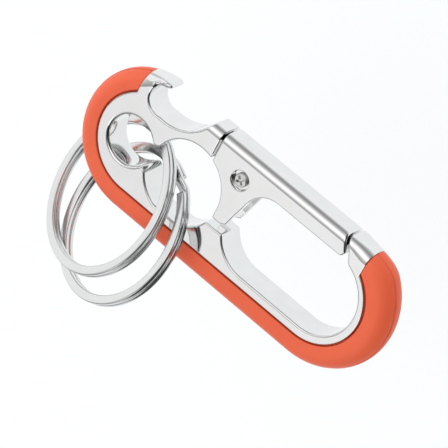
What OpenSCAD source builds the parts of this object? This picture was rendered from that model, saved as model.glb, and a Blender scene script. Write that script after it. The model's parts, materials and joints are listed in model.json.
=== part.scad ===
// Carabiner keyring: a die-cast metal frame with a soft rim, a sprung gate and two split rings.
// Origin: centre of the hook seat, halfway through the body's thickness.
// +X runs along the body towards the hook, +Y from the spine towards the gate, +Z out of the front face.

/* [Body] */
// Thickness of the body
body_t = 6.8; // [6.4:0.1:7.2]
// Radius of the body's outer curve round the hook
hook_outer_r = 16.45; // [16.3:0.05:16.6]
// Radius of the body's outer curve round the opener
tail_outer_r = 15.45; // [15.35:0.05:15.6]
// Centre of the outer curve round the opener
tail_outer_x = -46.85; // [-47:0.05:-46.7]
// Radius of the metal face's end curves, where the soft rim starts
metal_r = 10.7; // [10.5:0.1:10.9]
// Distance between the centres of the metal face's end curves
metal_span = 46.6; // [46.4:0.1:46.8]
// Offset of the metal face's end curves from the seat's centre line
metal_y = -0.3; // [-0.4:0.05:-0.2]

/* [Openings] */
// Radius of the hook seat
seat_r = 9.1; // [8.9:0.1:9.3]
// Radius of the bevel between the large opening and the stub on the spine
stub_arc_r = 8.2; // [8:0.1:8.4]
// Upper radius of the key ring room
room_r = 8.6; // [8.5:0.1:8.7]
// Lower radius of the key ring room
room_low_r = 9; // [8.9:0.1:9.1]
// Radius of the round hole beside the room
hole_r = 5.2; // [5.1:0.05:5.3]
// Radius of the rounding on the rim of that hole
hole_round = 0.65; // [0.5:0.05:0.7]
// Radius of the two rounded cusps between the hole and the room
cusp_r = 1.4; // [1.3:0.1:1.5]
// Width of the bevel round the openings
edge_bevel = 0.3; // [0.2:0.05:0.4]

/* [Opener] */
// Radius of the pocket under the opener's claw
claw_r = 3.25; // [3.15:0.05:3.35]
// Radius of the long curve that the cap rests on
cap_r = 10.4; // [10.2:0.1:10.6]

/* [Gate] */
// Distance of the gate's outer face from the seat's centre line
gate_top = 13.9; // [13.8:0.05:14]
// Distance of the gate's inner edge from the seat's centre line
gate_low = 9.1; // [9:0.05:9.15]
// Radius of the gate's long outer edges
gate_round = 2; // [1.8:0.1:2.2]
// Thickness of the two cheeks of the gate
cheek_t = 1.35; // [1.3:0.05:1.4]
// Thickness of the web that joins the cheeks
web_t = 1.6; // [1.4:0.1:1.8]
// Gap between the gate's hinge end and the frame
hinge_gap = 0.5; // [0.4:0.1:0.6]
// Radius of the curve between the gate's inner edge and its tail
tail_arc_r = 6; // [5.9:0.05:6.05]

/* [Pivot] */
// Radius of the pivot post
post_r = 1.25; // [1.2:0.05:1.3]
// Radial clearance of the post in the cheeks
post_fit = 0.05; // [0.03:0.01:0.08]
// Radius of the recess round each pivot head
recess_r = 2.1; // [2:0.05:2.2]
// Radius of the screw's head
screw_head_r = 1.45; // [1.4:0.05:1.55]
// Radius of the screw's shank
shank_r = 0.6; // [0.5:0.05:0.7]
// Diameter of the spring's wire
wire_d = 0.5; // [0.4:0.05:0.55]
// Full turns of the spring
spring_turns = 3; // [2:1:3]

/* [Split rings] */
// Outer radius of each split ring
ring_r = 17; // [16.9:0.05:17.1]
// Radial width of the flat wire
ring_w = 1.95; // [1.8:0.05:2]
// Height of the two coils together
ring_h = 2.2; // [2:0.05:2.2]
// Gap between the two coils
coil_gap = 0.12; // [0.1:0.02:0.16]
// Tilt of the rings from the body's plane
ring_tilt = 33.1; // [33:0.1:33.2]
// Direction towards which the rings' faces lean
ring_lean = 146.6; // [146.5:0.1:146.7]

/* [Hidden] */
$fn = 96;
eps = 0.01;
half_t = body_t / 2;
tall = body_t + 2;
chrome = [0.82, 0.83, 0.84];
orange = [0.89, 0.36, 0.24];
steel = [0.72, 0.73, 0.74];

// Body outline
metal_tail_x = -metal_span;
rim_step_x = -52.8;
nose_step_x = 5.95;
tail_outer = [tail_outer_x, tail_outer_r - hook_outer_r];
face_top = 20;
// The soft rim grips a rib that runs round the frame
rib_t = 2.6;
rib_out = 2.4;
rib_top_y = 6;
// A fine groove separates the rim from the metal face
groove_w = 0.4;
groove_d = 0.45;

// Pivot and the gate's outline
pivot = [-24.8, 7.8];
gate_left = -31.9;
gate_end = [[0.8, gate_low], [1.45, 10.3], [-3.4, face_top]];
tail_end_y = -2.7;
tail_right = [[-24.4, tail_end_y], [-23.2, -2.1], [-22.75, -0.4], [-21.2, 4.8]];
tail_arc = [-15.45, 3.1];
nose_end_x = gate_left - hinge_gap;
hook_end = [[2.95, 8.7], [-2.8, face_top]];
channel_t = body_t - 2 * cheek_t;
channel_end_x = -4;

// Key ring room, round hole and cusps
room = [-35, -0.7];
room_low = [-35.4, -0.8];
room_floor_y = -9.2;
hole = [-49.4, -1.2];

// Stub on the spine, under the gate's tail
stub_arc = [-15.3, -0.9];
stub_top_y = -4.4;

// Opener
claw = [-46.9, 10.4];
cap = [-45.1, 17.6];
beak = [[-50.4, 12.8], [-48.9, 12.7], [-47.8, 12.95], [-46.9, 13.45], [-46.05, 14.3],
    [-46.05, face_top], [-50.4, face_top]];

// Pivot hardware
recess_d = 0.95;
head_gap = 0.05;
screw_head_h = 0.7;
shank_len = 3.4;
post_head_r = 1.9;
post_head_h = 0.8;
post_front_z = half_t - recess_d + head_gap;
lug_t = 1.6;
lug_front_z = half_t - cheek_t - 0.1;
lug_back_z = lug_front_z - lug_t;
lug_r = 3;
lug_low_y = 6.4;
lug_high_y = 11.6;
coil_r = 1.65;
spring_first = 120;
spring_last = 360 * spring_turns + 90;
gate_leg = 5.5;
frame_leg = 8.2;
spring_pitch = wire_d + 0.03;
spring_top_z = lug_back_z - wire_d / 2 - 0.05;
leg_hole_z = spring_top_z - spring_pitch * spring_last / 360;
leg_hole_r = wire_d / 2 + 0.1;
leg_hole_depth = 1.2;

// Split rings
ring_in = ring_r - ring_w;
jog_angle = 10;
end_gap = 2;
jog_inset = 0.05;
upper_ring = [-48.65, -15.25, 1.15];
lower_ring = [-42.7, -17.75, 2.25];
upper_spin = 0;
lower_spin = 276;

// Centre of a cusp that touches two circles, on the side that dir gives
function cusp(a, ra, b, rb, dir) =
    let (d = norm(b - a))
    let (u = (b - a) / d)
    let (along = ((ra + cusp_r) ^ 2 - (rb + cusp_r) ^ 2 + d ^ 2) / (2 * d))
    let (side = sqrt((ra + cusp_r) ^ 2 - along ^ 2))
    a + along * u + dir * side * [-u[1], u[0]];

cusp_top = cusp(hole, hole_r, room, room_r, 1);
cusp_low = cusp(hole, hole_r, room_low, room_low_r, -1);

module at(p) {
    translate([p[0], p[1], 0]) children();
}

module slab(h) {
    translate([0, 0, -h / 2]) linear_extrude(h) children();
}

// A rectangle given by its lower left and upper right corners
module box2(a, b) {
    translate(a) square(b - a);
}

// Two equal circles joined by a band
module oblong(a, b, r) {
    translate(a) circle(r);
    translate(b) circle(r);
    translate([a[0], a[1] - r]) square([b[0] - a[0], 2 * r]);
}

// A flat bar's section with its two outer corners rounded, reaching up to y = top
module rounded_section(low, top, r) {
    translate([low, -half_t]) square([top - r - low, body_t]);
    translate([top - r - eps, -half_t + r]) square([r + eps, body_t - 2 * r]);
    for (side = [-1, 1])
        translate([top - r, side * (half_t - r)]) circle(r);
}

// A flat disc with a half-round rim
module round_end(centre, r) {
    translate([centre[0], centre[1], 0]) rotate_extrude() {
        translate([0, -half_t]) square([r - half_t, body_t]);
        intersection() {
            translate([r - half_t, 0]) circle(half_t);
            translate([0, -half_t]) square([r, body_t]);
        }
    }
}

// The body's whole outer form: two round ends joined along the straight spine
module envelope() {
    round_end(tail_outer, tail_outer_r);
    round_end([0, 0], hook_outer_r);
    translate([tail_outer_x, 0, 0]) rotate([90, 0, 90]) linear_extrude(-tail_outer_x) {
        translate([half_t - hook_outer_r, -half_t]) square([hook_outer_r - half_t + 8, body_t]);
        translate([half_t - hook_outer_r, 0]) circle(half_t);
    }
}

// The gate's outer form, shared by the stretch of frame beside its hinge
module gate_bar(x0, x1) {
    translate([x0, 0, 0]) rotate([90, 0, 90])
        linear_extrude(x1 - x0) rounded_section(-6, gate_top, gate_round);
}

// The face that stays metal: inside the end curves, and the gate's side of the body
module metal_face() {
    oblong([metal_tail_x, metal_y], [0, metal_y], metal_r);
    polygon([[rim_step_x, 0], [nose_step_x, 0], [nose_step_x + 0.4, face_top], [rim_step_x, face_top]]);
}

// Where the gate meets the hook, the body has the gate's own section
module body_section() {
    slab(tall) box2([-70, -30], [-39, face_top]);
    gate_bar(-40, 30);
    slab(tall) box2([-40, -30], [30, 0]);
}

module rim_rib() {
    slab(rib_t) intersection() {
        oblong([metal_tail_x, metal_y], [0, metal_y], metal_r + rib_out);
        box2([-70, -20], [30, rib_top_y]);
    }
}

module key_hole_outline() {
    at(hole) circle(hole_r);
}

module room_outline() {
    intersection() {
        at(room) circle(room_r);
        box2([-60, room_low[1]], [-20, 12]);
    }
    intersection() {
        at(room_low) circle(room_low_r);
        box2([-60, room_floor_y], [-20, room_low[1]]);
    }
    difference() {
        polygon([hole, cusp_low, room_low, room, cusp_top]);
        at(cusp_top) circle(cusp_r);
        at(cusp_low) circle(cusp_r);
    }
}

// The large opening, up to the gate
module main_outline() {
    circle(seat_r);
    box2([stub_arc[0], -seat_r], [0, 8]);
    at(stub_arc) circle(stub_arc_r);
}

// Where the gate, its tail and its hinge end are
module gate_room_outline() {
    polygon(concat([[nose_end_x, 5], [0, 5]], hook_end, [[nose_end_x, face_top]]));
    box2([-29, stub_top_y], [-18, 6]);
}

module opener_outline() {
    difference() {
        union() {
            at(claw) circle(claw_r);
            intersection() {
                at(cap) circle(cap_r);
                box2([claw[0], 0], [-30, face_top]);
            }
            box2([claw[0], 8], [cap[0], face_top]);
        }
        polygon(beak);
    }
}

// Bevels on both faces of a round edge, cut into the metal outside the radius
module round_bevel(p, r) {
    for (side = [0, 1])
        mirror([0, 0, side])
            translate([p[0], p[1], half_t - edge_bevel])
                cylinder(h = 2 * edge_bevel, r1 = r, r2 = r + 2 * edge_bevel);
}

// Rounded rims on both faces of a round hole
module round_rim(p, r, fillet) {
    for (side = [0, 1])
        mirror([0, 0, side]) translate([p[0], p[1], half_t - fillet]) rotate_extrude() difference() {
            square([r + fillet, fillet + 1]);
            translate([r + fillet, 0]) circle(fillet);
        }
}

// A bevel along a straight edge that faces +Y
module straight_bevel(x0, x1, y) {
    for (side = [0, 1])
        mirror([0, 0, side])
            translate([x0, y, half_t]) rotate([45, 0, 0])
                translate([0, -edge_bevel * sqrt(0.5), -edge_bevel * sqrt(0.5)])
                    cube([x1 - x0, 2 * edge_bevel * sqrt(0.5), 2 * edge_bevel * sqrt(0.5)]);
}

// The lug that carries the pivot, between the gate's cheeks
module lug() {
    translate([0, 0, lug_back_z]) linear_extrude(lug_t) {
        at(pivot) circle(lug_r);
        polygon([[nose_end_x - 1, lug_high_y], [pivot[0], pivot[1] + lug_r], [pivot[0], pivot[1] - lug_r],
            [nose_end_x - 0.4, lug_low_y + 1.3], [nose_end_x - 1, lug_low_y + 1.9]]);
    }
}

module frame() {
    color(chrome) difference() {
        union() {
            difference() {
                union() {
                    intersection() {
                        envelope();
                        body_section();
                        slab(tall) metal_face();
                        slab(tall) {
                            box2([-70, -30], [30, 8]);
                            box2([-70, 0], [-39, face_top]);
                            box2([-2, 0], [30, face_top]);
                        }
                    }
                    intersection() {
                        gate_bar(-39, nose_end_x);
                        slab(tall) box2([-39, 0], [nose_end_x, face_top]);
                    }
                }
                slab(tall) {
                    main_outline();
                    room_outline();
                    key_hole_outline();
                    gate_room_outline();
                    opener_outline();
                }
                round_bevel([0, 0], seat_r);
                round_rim(hole, hole_r, hole_round);
                straight_bevel(stub_arc[0], 0, -seat_r);
            }
            lug();
            difference() {
                rim_rib();
                slab(tall) oblong([metal_tail_x, metal_y], [0, metal_y], metal_r - 0.5);
            }
        }
        at(pivot) cylinder(h = tall, r = post_r, center = true);
        translate([nose_end_x - leg_hole_depth, pivot[1] + coil_r, leg_hole_z]) rotate([0, 90, 0])
            cylinder(h = leg_hole_depth + 1, r = leg_hole_r);
    }
}

module grip() {
    color(orange) difference() {
        intersection() {
            envelope();
            body_section();
        }
        slab(tall) metal_face();
        rim_rib();
        for (side = [0, 1])
            mirror([0, 0, side]) translate([0, 0, half_t - groove_d]) linear_extrude(1)
                oblong([metal_tail_x, metal_y], [0, metal_y], metal_r + groove_w);
    }
}

module gate_outline() {
    difference() {
        polygon(concat([[gate_left, face_top], [gate_left, 6], [-30, tail_end_y]], tail_right,
            [[tail_arc[0], gate_low]], gate_end));
        at(room) circle(room_r);
        box2([-32, -3], [room[0] + room_r, room[1]]);
        at(tail_arc) circle(tail_arc_r);
    }
}

module gate() {
    color(chrome) difference() {
        intersection() {
            gate_bar(gate_left, gate_end[1][0]);
            slab(tall) gate_outline();
        }
        translate([0, 0, -channel_t / 2]) linear_extrude(channel_t)
            box2([gate_left - 1, -6], [channel_end_x, gate_top - web_t]);
        at(pivot) cylinder(h = tall, r = post_r + post_fit, center = true);
        at(pivot) translate([0, 0, half_t - recess_d]) cylinder(h = 2, r = recess_r);
        at(pivot) translate([0, 0, -half_t - 2 + recess_d]) cylinder(h = 2, r = recess_r);
    }
}

module pivot_post() {
    color(steel) at(pivot) difference() {
        union() {
            translate([0, 0, -half_t + recess_d]) cylinder(h = post_front_z + half_t - recess_d, r = post_r);
            translate([0, 0, -half_t + recess_d - head_gap - post_head_h])
                cylinder(h = post_head_h, r = post_head_r);
            translate([0, 0, -half_t + recess_d - head_gap]) cylinder(h = head_gap, r = post_r);
        }
        translate([0, 0, post_front_z - shank_len]) cylinder(h = shank_len + 1, r = shank_r);
    }
}

module pivot_screw() {
    color(steel) at(pivot) translate([0, 0, post_front_z]) difference() {
        union() {
            cylinder(h = screw_head_h, r = screw_head_r);
            translate([0, 0, -shank_len + 0.2]) cylinder(h = shank_len - 0.2, r = shank_r);
        }
        for (turn = [45, 135])
            rotate(turn) translate([-0.95, -0.2, screw_head_h - 0.4]) cube([1.9, 0.4, 1]);
    }
}

// Points of the spring's wire: a leg under the gate's web, the coils, and a leg into the frame's hole
function coil_point(t) = [coil_r * cos(t), coil_r * sin(t), -spring_pitch * t / 360];
function ring_at(p, dir) =
    let (side = [-dir[1], dir[0], 0])
    [for (k = [0:7]) p + wire_d / 2 * (cos(45 * k) * side + sin(45 * k) * [0, 0, 1])];

module gate_spring() {
    turns = [for (t = [spring_first:15:spring_last]) t];
    start = coil_point(spring_first);
    finish = coil_point(spring_last);
    lead = [sin(spring_first), -cos(spring_first), 0];
    tail = [-sin(spring_last), cos(spring_last), 0];
    path = concat([start + gate_leg * lead], [for (t = turns) coil_point(t)], [finish + frame_leg * tail]);
    dirs = concat([-lead], [for (t = turns) [-sin(t), cos(t), 0]], [tail]);
    count = len(path);
    points = [for (i = [0:count - 1]) each ring_at(path[i], dirs[i])];
    sides = [for (i = [0:count - 2], k = [0:7])
        [8 * i + k, 8 * i + (k + 1) % 8, 8 * i + 8 + (k + 1) % 8, 8 * i + 8 + k]];
    color(steel) at(pivot) translate([0, 0, spring_top_z])
        polyhedron(points, concat(sides, [[for (k = [7:-1:0]) k]], [[for (k = [0:7]) 8 * (count - 1) + k]]));
}

// A stretch of flat wire between two angles and two heights
module coil(from, to, low, high, inset = 0) {
    rotate(from) translate([0, 0, low]) rotate_extrude(angle = to - from)
        translate([ring_in + inset, 0]) square([ring_w - 2 * inset, high - low]);
}

// Two coils of flat wire, joined where the wire steps from one level to the other
module split_ring(centre, spin) {
    translate(centre) rotate([0, ring_tilt, ring_lean]) rotate(spin) {
        coil(0.4 * jog_angle, 360 - end_gap, coil_gap / 2, ring_h / 2);
        coil(jog_angle + end_gap, 360 + 0.6 * jog_angle, -ring_h / 2, -coil_gap / 2);
        coil(0.1 * jog_angle, 0.9 * jog_angle, jog_inset - ring_h / 2, ring_h / 2 - jog_inset, jog_inset);
    }
}

module split_ring_upper() {
    color(steel) split_ring(upper_ring, upper_spin);
}

module split_ring_lower() {
    color(steel) split_ring(lower_ring, lower_spin);
}

frame();
grip();
gate();
pivot_post();
pivot_screw();
gate_spring();
split_ring_upper();
split_ring_lower();
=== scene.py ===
import json
import math

import bpy
import numpy as np
from mathutils import Matrix, Vector


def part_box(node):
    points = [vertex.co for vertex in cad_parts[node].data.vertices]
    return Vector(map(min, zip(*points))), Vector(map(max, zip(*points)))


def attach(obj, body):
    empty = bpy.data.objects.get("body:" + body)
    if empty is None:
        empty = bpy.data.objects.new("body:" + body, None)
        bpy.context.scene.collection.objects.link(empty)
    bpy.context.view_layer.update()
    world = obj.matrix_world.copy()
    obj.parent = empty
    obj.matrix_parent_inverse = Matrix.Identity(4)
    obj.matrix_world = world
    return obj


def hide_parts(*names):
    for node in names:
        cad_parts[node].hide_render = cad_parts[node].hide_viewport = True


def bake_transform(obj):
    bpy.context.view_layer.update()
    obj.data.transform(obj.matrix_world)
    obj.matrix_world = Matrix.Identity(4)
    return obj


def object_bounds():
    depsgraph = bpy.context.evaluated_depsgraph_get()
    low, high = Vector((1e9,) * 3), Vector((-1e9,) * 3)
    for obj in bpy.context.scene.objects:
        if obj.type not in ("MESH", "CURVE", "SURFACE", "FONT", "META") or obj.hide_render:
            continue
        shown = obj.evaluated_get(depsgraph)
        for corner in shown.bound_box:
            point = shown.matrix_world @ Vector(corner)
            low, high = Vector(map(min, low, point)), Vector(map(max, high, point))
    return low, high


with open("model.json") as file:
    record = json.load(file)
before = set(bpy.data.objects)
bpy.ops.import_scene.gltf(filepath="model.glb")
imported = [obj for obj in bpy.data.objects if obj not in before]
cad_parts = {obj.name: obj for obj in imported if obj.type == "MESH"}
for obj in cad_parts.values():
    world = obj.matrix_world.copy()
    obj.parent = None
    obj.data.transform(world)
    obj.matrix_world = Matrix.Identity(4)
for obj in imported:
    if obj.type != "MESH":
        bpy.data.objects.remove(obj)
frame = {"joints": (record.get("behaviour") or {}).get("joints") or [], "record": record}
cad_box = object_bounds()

# Lengths are in millimetres, in the row's frame, until a mesh is written out in metres.
MM = 0.001


def box_mm(node):
    """Lowest and highest corner of a CAD node, in millimetres."""
    low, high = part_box(node)
    return np.array(low) / MM, np.array(high) / MM


# ---- Sizes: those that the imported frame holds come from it, and the others repeat the CAD's ----

mounts = {m["name"]: m for m in frame["record"]["mounts"]}
hinge = next(j for j in frame["joints"] if j["name"] == "gate_hinge")
frame_high = box_mm("frame")[1]
grip_low = box_mm("grip")[0]
gate_low_corner, gate_high_corner = box_mm("gate")

half_t = float(frame_high[2])
pivot = [p / MM for p in hinge["pos_m"][:2]]
seat_r = mounts["hook_seat"]["dims"]["r_mm"]

# Body outline
hook_outer_r = -float(grip_low[1])
tail_outer_r = 15.45
tail_outer = (float(grip_low[0]) + tail_outer_r, tail_outer_r - hook_outer_r)
metal_r = 10.7
metal_tail_x = -46.6
metal_y = -0.3
rim_step_x = -52.8
nose_step_x = 5.95
nose_lean = 0.4
face_top = 20
rib_half_t = 1.3
rib_out = 2.4
rib_top_y = 6
groove_w = 0.4
groove_d = 0.9

# Gate
gate_top = float(gate_high_corner[1])
gate_left = float(gate_low_corner[0])
gate_right = 6
gate_low = 9.1
gate_end = [(0.8, gate_low), (1.45, 10.3), (-3.4, face_top)]
gate_round = 2
gate_edge = 0.25
web_t = 1.6
cheek_t = 1.35
channel_end_x = -4
tail_end_y = -2.7
tail_right = [(-24.4, tail_end_y), (-23.2, -2.1), (-22.75, -0.4), (-21.2, 4.8)]
tail_arc = (-15.45, 3.1)
tail_arc_r = 6
hinge_gap = 0.5
nose_end_x = gate_left - hinge_gap
hook_end = [(2.95, 8.7), (-2.8, face_top)]

# Openings
room = (-35, -0.7)
room_r = 8.6
room_low = (-35.4, -0.8)
room_low_r = 9
room_floor_y = -9.2
hole = (-49.4, -1.2)
hole_r = 5.2
cusp_r = 1.4
stub_arc = (-15.3, -0.9)
stub_arc_r = 8.2
stub_top_y = -4.4

# Opener
claw = (-46.9, 10.4)
claw_r = 3.25
cap = (-45.1, 17.6)
cap_r = 10.4
beak = [(-50.4, 12.8), (-48.9, 12.7), (-47.8, 12.95), (-46.9, 13.45), (-46.05, 14.3), (-46.05, face_top),
        (-50.4, face_top)]

# Pivot
recess_r = 2.1
recess_d = 0.95
post_r = 1.25
post_fit = 0.05
lug_r = 3
lug_t = 1.6
wire_d = 0.5


# ---- Distance fields: each takes coordinates and gives a signed distance, negative inside ----

def disc(x, y, centre, r):
    return np.hypot(x - centre[0], y - centre[1]) - r


def band(x, y, left, right, level, r):
    """A strip of half-width r along X, with round ends."""
    return np.hypot(x - np.clip(x, left, right), y - level) - r


def block(x, y, low, high):
    dx = np.maximum(low[0] - x, x - high[0])
    dy = np.maximum(low[1] - y, y - high[1])
    return np.hypot(np.maximum(dx, 0), np.maximum(dy, 0)) + np.minimum(np.maximum(dx, dy), 0)


def outline(x, y, points):
    """A closed polygon."""
    x, y = np.broadcast_arrays(x, y)
    nearest = np.full(x.shape, 1e9)
    inside = np.zeros(x.shape, bool)
    for (ax, ay), (bx, by) in zip(points, points[1:] + points[:1]):
        ex, ey = bx - ax, by - ay
        t = np.clip(((x - ax) * ex + (y - ay) * ey) / (ex * ex + ey * ey), 0, 1)
        nearest = np.minimum(nearest, np.hypot(x - ax - t * ex, y - ay - t * ey))
        spans = (ay > y) != (by > y)
        if ay != by:
            inside ^= spans & (x < ax + (y - ay) * ex / ey)
    return np.where(inside, -nearest, nearest)


def union(*shapes):
    result = shapes[0]
    for shape in shapes[1:]:
        result = np.minimum(result, shape)
    return result


def common(*shapes):
    result = shapes[0]
    for shape in shapes[1:]:
        result = np.maximum(result, shape)
    return result


def soft_common(a, b, r):
    """What two shapes share, with the edge between them rounded to r."""
    corner = np.hypot(np.maximum(a + r, 0), np.maximum(b + r, 0))
    return np.minimum(np.maximum(a, b), -r) + corner


def soft_cut(a, b, r):
    return soft_common(a, -b, r)


def smooth_step(v, low, high):
    t = np.clip((v - low) / (high - low), 0, 1)
    return t * t * (3 - 2 * t)


# ---- Meshing ----

CORNERS = [(i, j, k) for i in (0, 1) for j in (0, 1) for k in (0, 1)]
EDGES = [(a, b) for a in CORNERS for b in CORNERS if sum(b) == sum(a) + 1
         and all(q >= p for p, q in zip(a, b))]


def slope(shape, points, h):
    """Gradient of a field at points, by central differences."""
    parts = []
    for axis in range(3):
        step = np.zeros(3)
        step[axis] = h
        ahead = shape(*(points + step).T)
        behind = shape(*(points - step).T)
        parts.append((ahead - behind) / (2 * h))
    return np.stack(parts, 1)


def skin(shape, low, high, step):
    """Vertices, normals and quads of a field's surface, by surface nets and a step onto the surface."""
    sizes = [int(math.ceil((b - a) / step)) + 1 for a, b in zip(low, high)]
    axes = [a + step * np.arange(n) for a, n in zip(low, sizes)]
    field = shape(axes[0][:, None, None], axes[1][None, :, None], axes[2][None, None, :])
    field = np.broadcast_to(field, sizes)
    solid = field < 0
    cells = [n - 1 for n in sizes]
    count = sum(solid[i:i + cells[0], j:j + cells[1], k:k + cells[2]].astype(np.int8) for i, j, k in CORNERS)
    active = (count > 0) & (count < len(CORNERS))
    where = np.argwhere(active)
    number = np.full(cells, -1)
    number[active] = np.arange(len(where))
    total = np.zeros((len(where), 3))
    hits = np.zeros(len(where))
    for a, b in EDGES:
        fa = field[tuple((where + a).T)]
        fb = field[tuple((where + b).T)]
        crosses = (fa < 0) != (fb < 0)
        t = np.where(crosses, fa / np.where(crosses, fa - fb, 1), 0)
        total += crosses[:, None] * (np.array(a) + t[:, None] * (np.array(b) - a))
        hits += crosses
    points = np.array(low) + step * (where + total / hits[:, None])
    quads = []
    for axis in range(3):
        u, v = [a for a in range(3) if a != axis]
        inner = [slice(0, -1)] * 3
        outer = [slice(1, None) if a == axis else slice(0, -1) for a in range(3)]
        changes = solid[tuple(inner)] != solid[tuple(outer)]
        at = np.argwhere(changes)
        at = at[(at[:, u] > 0) & (at[:, v] > 0)]
        corners = []
        for du, dv in ((1, 1), (0, 1), (0, 0), (1, 0)):
            shift = np.zeros(3, int)
            shift[u] = -du
            shift[v] = -dv
            corners.append(number[tuple((at + shift).T)])
        quad = np.stack(corners, 1)
        flip = solid[tuple(at.T)] == (axis == 1)
        quad[flip] = quad[flip][:, ::-1]
        quads.append(quad)
    for _ in range(3):
        gradient = slope(shape, points, step / 8)
        away = shape(*points.T) / np.maximum((gradient ** 2).sum(1), 0.25)
        points -= np.clip(away, -step / 3, step / 3)[:, None] * gradient
    return points, np.concatenate(quads)


def new_piece(name, points, faces, material):
    mesh = bpy.data.meshes.new(name)
    mesh.from_pydata((np.asarray(points) * MM).tolist(), [], [list(map(int, f)) for f in faces])
    mesh.polygons.foreach_set("use_smooth", np.ones(len(mesh.polygons), bool))
    mesh.materials.append(material)
    mesh.update()
    piece = bpy.data.objects.new(name, mesh)
    bpy.context.scene.collection.objects.link(piece)
    return piece


def moulded(name, shape, low, high, step, material, keep=1.0):
    """A piece from a distance field. keep below 1 thins the faces where the surface is flat."""
    points, quads = skin(shape, low, high, step)
    piece = new_piece(name, points, quads, material)
    if keep < 1:
        thin = piece.modifiers.new("thin", "DECIMATE")
        thin.ratio = keep
        graph = bpy.context.evaluated_depsgraph_get()
        slim = bpy.data.meshes.new_from_object(piece.evaluated_get(graph))
        piece.modifiers.clear()
        old = piece.data
        piece.data = slim
        bpy.data.meshes.remove(old)
        slim.name = name
    mesh = piece.data
    flat = np.zeros(3 * len(mesh.vertices))
    mesh.vertices.foreach_get("co", flat)
    normals = slope(shape, flat.reshape(-1, 3) / MM, step / 4)
    normals /= np.maximum(np.linalg.norm(normals, axis=1), 1e-9)[:, None]
    mesh.normals_split_custom_set_from_vertices(normals.tolist())
    return piece


def swept(name, path, sides, ups, section, material):
    """A closed tube: section's points, in the plane of sides and ups, carried along path."""
    count, around = len(path), len(section)
    rings = path[:, None] + section[None, :, :1] * sides[:, None] + section[None, :, 1:] * ups[:, None]
    i, k = np.meshgrid(np.arange(count - 1), np.arange(around), indexing="ij")
    after = (k + 1) % around
    quads = np.stack([i * around + k, i * around + after, (i + 1) * around + after, (i + 1) * around + k], -1)
    faces = quads.reshape(-1, 4).tolist()
    faces.append(list(range(around))[::-1])
    faces.append(list(range((count - 1) * around, count * around)))
    piece = new_piece(name, rings.reshape(-1, 3), faces, material)
    along = np.concatenate([[0], np.cumsum(np.linalg.norm(np.diff(path, axis=0), axis=1))])
    uv = piece.data.uv_layers.new(name="wire").data
    for polygon in piece.data.polygons:
        for loop, vertex in zip(polygon.loop_indices, polygon.vertices):
            turn = vertex % around / around
            uv[loop].uv = (along[vertex // around] * MM, turn)
    return piece


# ---- Materials ----

def material_with(name, base, metallic, roughness):
    material = bpy.data.materials.new(name)
    material.use_nodes = True
    shader = material.node_tree.nodes["Principled BSDF"]
    shader.inputs["Base Color"].default_value = (*base, 1)
    shader.inputs["Metallic"].default_value = metallic
    shader.inputs["Roughness"].default_value = roughness
    return material, shader


def noise(material, scale, detail, stretch=None, source="Object"):
    nodes, links = material.node_tree.nodes, material.node_tree.links
    where = nodes.new("ShaderNodeTexCoord")
    texture = nodes.new("ShaderNodeTexNoise")
    texture.inputs["Scale"].default_value = scale
    texture.inputs["Detail"].default_value = detail
    if stretch:
        mapping = nodes.new("ShaderNodeMapping")
        mapping.inputs["Scale"].default_value = stretch
        links.new(where.outputs[source], mapping.inputs["Vector"])
        links.new(mapping.outputs["Vector"], texture.inputs["Vector"])
    else:
        links.new(where.outputs[source], texture.inputs["Vector"])
    return texture.outputs["Fac"]


def spread(material, fac, low, high):
    """Turns a noise's middle range into values from low to high."""
    node = material.node_tree.nodes.new("ShaderNodeMapRange")
    node.inputs["From Min"].default_value = 0.3
    node.inputs["From Max"].default_value = 0.7
    node.inputs["To Min"].default_value = low
    node.inputs["To Max"].default_value = high
    material.node_tree.links.new(fac, node.inputs["Value"])
    return node.outputs["Result"]


def two_tone(material, shader, fac, dark, light):
    ramp = material.node_tree.nodes.new("ShaderNodeValToRGB")
    ramp.color_ramp.elements[0].position = 0.3
    ramp.color_ramp.elements[0].color = (*dark, 1)
    ramp.color_ramp.elements[1].position = 0.7
    ramp.color_ramp.elements[1].color = (*light, 1)
    material.node_tree.links.new(fac, ramp.inputs["Fac"])
    material.node_tree.links.new(ramp.outputs["Color"], shader.inputs["Base Color"])


def bumped(material, shader, fac, height):
    bump = material.node_tree.nodes.new("ShaderNodeBump")
    bump.inputs["Strength"].default_value = 1
    bump.inputs["Distance"].default_value = height
    material.node_tree.links.new(fac, bump.inputs["Height"])
    material.node_tree.links.new(bump.outputs["Normal"], shader.inputs["Normal"])


def chrome_plate():
    """Bright plating on a polished die casting: a faint haze and a trace of waviness."""
    material, shader = material_with("chrome_plate", (0.8, 0.8, 0.8), 1, 0.08)
    haze = noise(material, 260, 3)
    two_tone(material, shader, haze, (0.79, 0.79, 0.785), (0.82, 0.82, 0.82))
    material.node_tree.links.new(spread(material, haze, 0.05, 0.1), shader.inputs["Roughness"])
    bumped(material, shader, noise(material, 180, 1), 2e-6)
    return material


def soft_touch():
    """Satin elastomer with a fine moulded grain."""
    material, shader = material_with("soft_touch", (0.76, 0.1, 0.03), 0, 0.42)
    shader.inputs["Specular IOR Level"].default_value = 0.5
    cloud = noise(material, 90, 4)
    two_tone(material, shader, cloud, (0.74, 0.095, 0.028), (0.78, 0.106, 0.033))
    material.node_tree.links.new(spread(material, cloud, 0.4, 0.46), shader.inputs["Roughness"])
    bumped(material, shader, noise(material, 5200, 2), 8e-6)
    return material


def turned_steel():
    material, shader = material_with("turned_steel", (0.71, 0.71, 0.7), 1, 0.16)
    marks = noise(material, 900, 2)
    two_tone(material, shader, marks, (0.65, 0.65, 0.64), (0.76, 0.76, 0.75))
    material.node_tree.links.new(spread(material, marks, 0.12, 0.22), shader.inputs["Roughness"])
    bumped(material, shader, marks, 2e-6)
    return material


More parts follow.
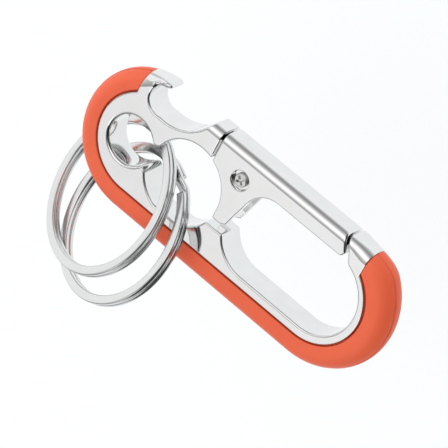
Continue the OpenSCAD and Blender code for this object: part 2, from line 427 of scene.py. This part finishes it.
def spring_wire():
    material, shader = material_with("spring_wire", (0.5, 0.5, 0.5), 1, 0.3)
    lines = noise(material, 60, 3, (1, 12, 1), "UV")
    two_tone(material, shader, lines, (0.42, 0.42, 0.43), (0.56, 0.56, 0.56))
    material.node_tree.links.new(spread(material, lines, 0.24, 0.36), shader.inputs["Roughness"])
    return material


def ring_plate():
    """Nickel on flat wire, with drawing lines along the wire."""
    material, shader = material_with("ring_plate", (0.76, 0.765, 0.765), 1, 0.18)
    lines = noise(material, 60, 4, (4, 14, 1), "UV")
    two_tone(material, shader, lines, (0.69, 0.695, 0.695), (0.8, 0.805, 0.805))
    material.node_tree.links.new(spread(material, lines, 0.12, 0.22), shader.inputs["Roughness"])
    bumped(material, shader, lines, 4e-6)
    return material


# ---- Shapes ----

def cusp_centre(a, ra, b, rb, side):
    """Centre of the rounded cusp between two round openings."""
    gap = np.hypot(b[0] - a[0], b[1] - a[1])
    ux, uy = (b[0] - a[0]) / gap, (b[1] - a[1]) / gap
    along = ((ra + cusp_r) ** 2 - (rb + cusp_r) ** 2 + gap ** 2) / (2 * gap)
    off = side * math.sqrt((ra + cusp_r) ** 2 - along ** 2)
    return a[0] + along * ux - off * uy, a[1] + along * uy + off * ux


cusp_top = cusp_centre(hole, hole_r, room, room_r, 1)
cusp_low = cusp_centre(hole, hole_r, room_low, room_low_r, -1)


def metal_face(x, y):
    sector = [(rim_step_x, 0), (nose_step_x, 0), (nose_step_x + nose_lean, face_top), (rim_step_x, face_top)]
    return union(band(x, y, metal_tail_x, 0, metal_y, metal_r), outline(x, y, sector))


def body_outline(x, y):
    """Two round ends joined along the straight spine, cut off level with the gate at the hook."""
    ends = union(disc(x, y, tail_outer, tail_outer_r), disc(x, y, (0, 0), hook_outer_r))
    body = np.where((x > tail_outer[0]) & (x < 0) & (y < 8), -y - hook_outer_r, ends)
    return np.where(x > -20, soft_common(body, y - gate_top, 3), body)


def rim_rib(x, y, z):
    ring = common(band(x, y, metal_tail_x, 0, metal_y, metal_r + rib_out), y - rib_top_y)
    return common(ring, np.abs(z) - rib_half_t)


def room_outline(x, y):
    upper = common(disc(x, y, room, room_r), room_low[1] - 2 - y)
    lower = common(disc(x, y, room_low, room_low_r), y - room_low[1], room_floor_y - y)
    neck = outline(x, y, [hole, cusp_low, room_low, room, cusp_top])
    neck = common(neck, -disc(x, y, cusp_top, cusp_r), -disc(x, y, cusp_low, cusp_r))
    return union(upper, lower, neck)


def main_outline(x, y):
    return union(disc(x, y, (0, 0), seat_r), block(x, y, (stub_arc[0], -seat_r), (0, 8)),
                 disc(x, y, stub_arc, stub_arc_r))


def gate_room_outline(x, y):
    mouth = [(nose_end_x, 5), (0, 5), *hook_end, (nose_end_x, face_top)]
    return union(outline(x, y, mouth), block(x, y, (-29, stub_top_y), (-18, 6)))


def opener_outline(x, y):
    seat = common(disc(x, y, cap, cap_r), claw[0] - x)
    mouth = block(x, y, (claw[0], 8), (cap[0] + 3, face_top))
    return common(union(disc(x, y, claw, claw_r), seat, mouth), -outline(x, y, beak))


def frame_shape(x, y, z):
    depth = np.abs(z) - half_t
    to_rim = smooth_step(x, 1, 5.5)
    to_claw = smooth_step(-x, -beak[-2][0] + 0.5, -rim_step_x)
    claw_round = np.where(z > 0, 0.6 + 2.6 * to_claw, 3)
    by_claw = (x < -40) & (y > 7)
    rounding = np.where((x > -20) & (y > 7), 2 + 0.9 * to_rim, np.where(by_claw, claw_round, half_t))
    body = common(soft_common(body_outline(x, y), depth, rounding),
                  union(y - 8, common(-y, x + 39), common(-y, -4 - x)))
    body = soft_common(body, metal_face(x, y), 0.15)
    nose = common(soft_common(y - gate_top, depth, gate_round), block(x, y, (-39, 0), (nose_end_x, face_top)))
    shape = union(body, nose)
    shape = soft_cut(shape, main_outline(x, y), 0.4)
    shape = soft_cut(shape, room_outline(x, y), 0.4)
    shape = soft_cut(shape, disc(x, y, hole, hole_r), 0.65)
    shape = soft_cut(shape, gate_room_outline(x, y), 0.3)
    under_beak = smooth_step(y, 11.4, 12.6) * smooth_step(-x, 45, 47)
    shape = soft_cut(shape, opener_outline(x, y), 0.4 + 0.8 * under_beak)
    arm = [(nose_end_x - 1, 11.6), (pivot[0], pivot[1] + lug_r), (pivot[0], pivot[1] - lug_r),
           (nose_end_x - 0.4, 7.7), (nose_end_x - 1, 8.3)]
    lug = union(disc(x, y, pivot, lug_r), outline(x, y, arm))
    lug_z = half_t - cheek_t - 0.1 - lug_t / 2
    lug = soft_common(lug, np.abs(z - lug_z) - lug_t / 2, 0.2)
    rib = common(rim_rib(x, y, z), -band(x, y, metal_tail_x, 0, metal_y, metal_r - 0.5))
    shape = union(shape, lug, rib)
    return common(shape, -disc(x, y, pivot, post_r))


def grip_shape(x, y, z):
    depth = np.abs(z) - half_t
    shape = soft_common(body_outline(x, y), depth, half_t)
    seam = np.hypot(body_outline(x, y) + 0.15, z - 1) - 0.2
    shape = common(shape, -seam)
    shape = soft_cut(shape, metal_face(x, y), 0.25)
    groove = common(band(x, y, metal_tail_x, 0, metal_y, metal_r + groove_w), -depth - groove_d)
    shape = soft_cut(shape, groove, 0.2)
    return common(shape, -rim_rib(x, y, z))


def beyond_line(x, y, a, b):
    """Distance to the right of the line from a to b."""
    run, rise = b[0] - a[0], b[1] - a[1]
    return ((x - b[0]) * rise - (y - b[1]) * run) / math.hypot(run, rise)


def gate_shape(x, y, z):
    depth = np.abs(z) - half_t
    shape = soft_common(y - gate_top, depth, gate_round)
    side = [(gate_left, face_top), (gate_left, 6), (-30, tail_end_y), *tail_right, (tail_arc[0], gate_low),
            (gate_right, gate_low), (gate_right, face_top)]
    shape = soft_common(shape, outline(x, y, side), gate_edge)
    free_end = beyond_line(x, y, gate_end[1], gate_end[2])
    corner = beyond_line(x, y, gate_end[0], gate_end[1])
    shape = soft_common(shape, common(free_end, corner), 0.5)
    beside_room = union(disc(x, y, room, room_r), block(x, y, (-32, -3), (room[0] + room_r, room[1])))
    shape = soft_cut(shape, beside_room, gate_edge)
    shape = soft_cut(shape, disc(x, y, tail_arc, tail_arc_r), gate_edge)
    channel = block(x, y, (-40, -10), (channel_end_x, gate_top - web_t))
    channel = common(np.abs(z) - (half_t - cheek_t), channel)
    shape = common(shape, -channel)
    recess = common(disc(x, y, pivot, recess_r), half_t - recess_d - np.abs(z))
    shape = soft_cut(shape, recess, 0.12)
    return common(shape, -disc(x, y, pivot, post_r + post_fit))


# ---- Pieces ----

chrome = chrome_plate()
pad = 0.6


def around(node):
    low, high = box_mm(node)
    return low - pad, high + pad


casting = moulded("frame_casting", frame_shape, *around("frame"), 0.16, chrome, 0.35)
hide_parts("frame")
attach(casting, "body")

rim = moulded("soft_rim", grip_shape, *around("grip"), 0.16, soft_touch(), 0.45)
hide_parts("grip")
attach(rim, "body")

gate = moulded("gate_casting", gate_shape, *around("gate"), 0.14, chrome, 0.4)
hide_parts("gate")
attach(gate, "gate")


# ---- Pivot hardware ----

steel = turned_steel()
post_head_r = 1.9
post_head_h = 0.8
head_gap = 0.05
screw_head_r = 1.45
screw_head_h = 0.7
shank_r = 0.6
post_front_z = half_t - recess_d + head_gap
bore_depth = 3.4
shank_low_z = post_front_z - 3.2
post_head_z = -half_t + recess_d - head_gap


def post_shape(x, y, z):
    stem = common(disc(x, y, pivot, post_r), z - post_front_z, post_head_z - z)
    head_depth = np.abs(z - post_head_z + post_head_h / 2) - post_head_h / 2
    head = soft_common(disc(x, y, pivot, post_head_r), head_depth, 0.25)
    bore = common(disc(x, y, pivot, shank_r), post_front_z - bore_depth - z)
    return common(union(stem, head), -bore)


def screw_shape(x, y, z):
    middle = post_front_z + screw_head_h / 2
    head = soft_common(disc(x, y, pivot, screw_head_r), np.abs(z - middle) - screw_head_h / 2, 0.3)
    shank = common(disc(x, y, pivot, shank_r), z - middle, shank_low_z - z)
    shape = union(head, shank)
    u = ((x - pivot[0]) + (y - pivot[1])) * math.sqrt(0.5)
    v = ((x - pivot[0]) - (y - pivot[1])) * math.sqrt(0.5)
    top = post_front_z + screw_head_h
    taper = 0.25 * (top - z)
    cross = np.minimum(np.maximum(np.abs(u) - 0.95 + taper, np.abs(v) - 0.22 + 0.3 * taper),
                       np.maximum(np.abs(v) - 0.95 + taper, np.abs(u) - 0.22 + 0.3 * taper))
    return soft_cut(shape, common(cross, top - 0.45 - z), 0.06)


post = moulded("pivot_post_turned", post_shape, *around("pivot_post"), 0.06, steel, 0.5)
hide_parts("pivot_post")
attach(post, "body")

screw = moulded("pivot_screw_turned", screw_shape, *around("pivot_screw"), 0.05, steel, 0.6)
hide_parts("pivot_screw")
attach(screw, "body")


# ---- Spring: coils round the post, one leg under the gate's web and one in the frame ----

coil_r = 1.65
spring_turns = 3
spring_first = math.radians(120)
spring_last = 2 * math.pi * spring_turns + math.pi / 2
spring_pitch = wire_d + 0.03
spring_top_z = half_t - cheek_t - 0.1 - lug_t - wire_d / 2 - 0.05
gate_leg = 5.5
frame_leg = 8.2


def helix():
    turns = np.arange(spring_first, spring_last, math.radians(7.5))
    turns = np.append(turns, spring_last)
    drop = -spring_pitch * turns / (2 * math.pi)
    coil = np.stack([coil_r * np.cos(turns), coil_r * np.sin(turns), drop], 1)
    heading = np.stack([-np.sin(turns), np.cos(turns), 0 * turns], 1)
    before = coil[0] - heading[0] * np.array([[gate_leg], [gate_leg / 2], [0.3]])
    after = coil[-1] + heading[-1] * np.array([[0.3], [frame_leg / 2], [frame_leg]])
    path = np.concatenate([before, coil, after])
    headings = np.concatenate([np.repeat(heading[:1], 3, 0), heading, np.repeat(heading[-1:], 3, 0)])
    return path + np.array([*pivot, spring_top_z]), headings


angles = np.arange(16) * math.pi / 8
spring_path, spring_headings = helix()
spring_sides = np.stack([-spring_headings[:, 1], spring_headings[:, 0], 0 * spring_headings[:, 0]], 1)
spring_ups = np.tile([0.0, 0, 1], (len(spring_path), 1))
wire_section = wire_d / 2 * np.stack([np.cos(angles), np.sin(angles)], 1)
spring = swept("torsion_spring", spring_path, spring_sides, spring_ups, wire_section, spring_wire())
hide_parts("gate_spring")
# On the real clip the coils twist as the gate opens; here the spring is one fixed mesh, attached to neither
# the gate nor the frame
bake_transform(spring)


# ---- Split rings: flat wire wound twice, stepping up one level where the turns pass ----

ring_r = 17
ring_w = 1.95
ring_h = 2.2
coil_gap = 0.12
coil_t = (ring_h - coil_gap) / 2
wire_round = 0.3
jog = math.radians(10)
end_gap = math.radians(2)
ring_tilt = math.radians(33.1)
ring_lean = math.radians(146.6)
ring_turn = Matrix.Rotation(ring_lean, 3, "Z") @ Matrix.Rotation(ring_tilt, 3, "Y")
upper_centre, upper_spin = (-48.65, -15.25, 1.15), 0
lower_centre, lower_spin = (-42.7, -17.75, 2.25), 276
ring_material = ring_plate()


def flat_section():
    """A rounded rectangle, ring_w by coil_t."""
    points = []
    for cx, cy, start in ((1, 1, 0), (-1, 1, 90), (-1, -1, 180), (1, -1, 270)):
        for step in range(6):
            a = math.radians(start + 18 * step)
            points.append((cx * (ring_w / 2 - wire_round) + wire_round * math.cos(a),
                           cy * (coil_t / 2 - wire_round) + wire_round * math.sin(a)))
    return np.array(points)


def split_ring(name, node, centre, spin):
    start, stop = jog + end_gap, 4 * math.pi - end_gap
    turns = np.linspace(start, stop, 361)
    level = (smooth_step(turns, 2 * math.pi, 2 * math.pi + jog) - 0.5) * (coil_t + coil_gap)
    place = np.array(ring_turn @ Matrix.Rotation(math.radians(spin), 3, "Z"))
    outward = np.stack([np.cos(turns), np.sin(turns), 0 * turns], 1)
    path = outward * (ring_r - ring_w / 2) + level[:, None] * np.array([0, 0, 1])
    ups = np.tile([0.0, 0, 1], (len(turns), 1))
    piece = swept(name, path @ place.T + np.array(centre), outward @ place.T, ups @ place.T,
                  flat_section(), ring_material)
    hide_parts(node)
    return piece


upper_ring = split_ring("upper_key_ring", "split_ring_upper", upper_centre, upper_spin)
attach(upper_ring, "ring_upper")
lower_ring = split_ring("lower_key_ring", "split_ring_lower", lower_centre, lower_spin)
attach(lower_ring, "ring_lower")


# ---- Floor, light and camera ----

floor_drop = 60
floor_r = 260


def floor_disc():
    material, shader = material_with("pale_floor", (0.74, 0.76, 0.77), 0, 0.8)
    shader.inputs["Specular IOR Level"].default_value = 0
    shader.inputs["Emission Color"].default_value = (0.97, 1, 1, 1)
    shader.inputs["Emission Strength"].default_value = 0.17
    points = [(floor_r * math.cos(a), floor_r * math.sin(a), 0)
              for a in np.linspace(0, 2 * math.pi, 97)[:-1]]
    low = cad_box[0][2] / MM - floor_drop
    points = np.array(points) + np.array([-20, 0, low])
    floor = new_piece("floor", points, [list(range(96))], material)


def ramp_node(tree, source, stops):
    node = tree.nodes.new("ShaderNodeValToRGB")
    elements = node.color_ramp.elements
    while len(elements) < len(stops):
        elements.new(0.5)
    for element, (place, colour) in zip(elements, stops):
        element.position = place
        element.color = (*colour, 1)
    tree.links.new(source, node.inputs["Fac"])
    return node.outputs["Color"]


def level(tree, source, low, high):
    node = tree.nodes.new("ShaderNodeMapRange")
    node.inputs["From Min"].default_value = low
    node.inputs["From Max"].default_value = high
    tree.links.new(source, node.inputs["Value"])
    return node.outputs["Result"]


def blend(tree, mode, a, b, factor=None):
    """Mixes two colours, each a socket or a grey value."""
    node = tree.nodes.new("ShaderNodeMix")
    node.data_type = "RGBA"
    node.blend_type = mode
    factor_in, a_in, b_in = node.inputs[0], node.inputs[6], node.inputs[7]
    factor_in.default_value = 1
    if factor:
        tree.links.new(factor, factor_in)
    for value, socket in ((a, a_in), (b, b_in)):
        if isinstance(value, float):
            socket.default_value = (value, value, value, 1)
        else:
            tree.links.new(value, socket)
    return node.outputs[2]


def greys(tree, axis, stops, top=1.0):
    """Grey values at places from -1 to 1 along an axis."""
    return ramp_node(tree, level(tree, axis, -1, 1), [((p + 1) / 2, (v / top,) * 3) for p, v in stops])


def studio():
    """A white studio. Overhead, a dark gap lies between two panels; the +X side is dark, low -X is bright."""
    world = bpy.data.worlds.new("studio")
    bpy.context.scene.world = world
    world.use_nodes = True
    tree = world.node_tree
    nodes, links = tree.nodes, tree.links
    where = nodes.new("ShaderNodeTexCoord")
    axes = nodes.new("ShaderNodeSeparateXYZ")
    links.new(where.outputs["Generated"], axes.inputs["Vector"])
    x, y, z = axes.outputs
    top = 1.45
    sky = greys(tree, z, [(-1, 1.0), (-0.6, 0.97), (-0.44, 0.88), (-0.29, 0.78), (-0.13, 0.63), (0.03, 0.45),
                          (0.2, 0.3), (0.35, 0.36), (0.5, 0.52), (0.63, 0.75), (0.76, 1.1), (0.86, top),
                          (1, top)], top)
    left = greys(tree, y, [(-1, 0.79), (-0.445, 0.79), (-0.425, 0.3), (-0.34, 0.3), (-0.2, 0.36),
                           (-0.04, 0.5), (0.12, 0.75), (0.25, 1), (1, 1)])
    right = greys(tree, y, [(-1, 1), (-0.46, 1), (-0.43, 0.1), (0.05, 0.1), (0.2, 0.9), (1, 1)])
    overhead = blend(tree, "MIX", left, right, level(tree, x, -0.27, 0.05))
    strips = blend(tree, "MIX", 1.0, overhead, level(tree, z, 0.4, 0.6))
    side = greys(tree, x, [(-1, 1), (0.3, 1), (0.48, 0.12), (1, 0.12)])
    shaped = blend(tree, "MULTIPLY", blend(tree, "MULTIPLY", sky, strips), side)
    low_left = blend(tree, "MULTIPLY", greys(tree, x, [(-1, 1), (-0.8, 1), (-0.6, 0), (1, 0)]),
                     greys(tree, z, [(-0.2, 0), (0, 0.72), (0.5, 0.72), (0.7, 0)]))
    chrome_sky = nodes["Background"]
    chrome_sky.inputs["Strength"].default_value = top
    links.new(blend(tree, "LIGHTEN", shaped, low_left), chrome_sky.inputs["Color"])
    soft_sky = nodes.new("ShaderNodeBackground")
    links.new(greys(tree, x, [(-1, 1), (-0.2, 0.95), (0.5, 0.55), (1, 0.4)]), soft_sky.inputs["Color"])
    soft_sky.inputs["Strength"].default_value = 1.55
    backdrop = nodes.new("ShaderNodeBackground")
    backdrop.inputs["Color"].default_value = (1, 1, 1, 1)
    backdrop.inputs["Strength"].default_value = 1.05
    rays = nodes.new("ShaderNodeLightPath")
    by_surface, by_camera = nodes.new("ShaderNodeMixShader"), nodes.new("ShaderNodeMixShader")
    links.new(rays.outputs["Is Diffuse Ray"], by_surface.inputs["Fac"])
    links.new(chrome_sky.outputs["Background"], by_surface.inputs[1])
    links.new(soft_sky.outputs["Background"], by_surface.inputs[2])
    links.new(rays.outputs["Is Camera Ray"], by_camera.inputs["Fac"])
    links.new(by_surface.outputs["Shader"], by_camera.inputs[1])
    links.new(backdrop.outputs["Background"], by_camera.inputs[2])
    links.new(by_camera.outputs["Shader"], nodes["World Output"].inputs["Surface"])


def camera():
    right = Vector((0.725, 0.4103, -0.5532)).normalized()
    back = Vector((0.3272, 0.5015, 0.8009))
    back = (back - right * back.dot(right)).normalized()
    up = back.cross(right)
    target = Vector((-23.41, -2.041, half_t))
    distance = 743.3
    data = bpy.data.cameras.new("camera")
    data.sensor_width = 36
    data.lens = 307.6
    data.clip_end = 10
    eye = bpy.data.objects.new("camera", data)
    bpy.context.scene.collection.objects.link(eye)
    turn = Matrix((right, up, back)).transposed()
    eye.matrix_world = Matrix.Translation((target + distance * back) * MM) @ turn.to_4x4()
    bpy.context.scene.camera = eye


floor_disc()
studio()
camera()
bpy.context.scene.view_settings.view_transform = "Standard"
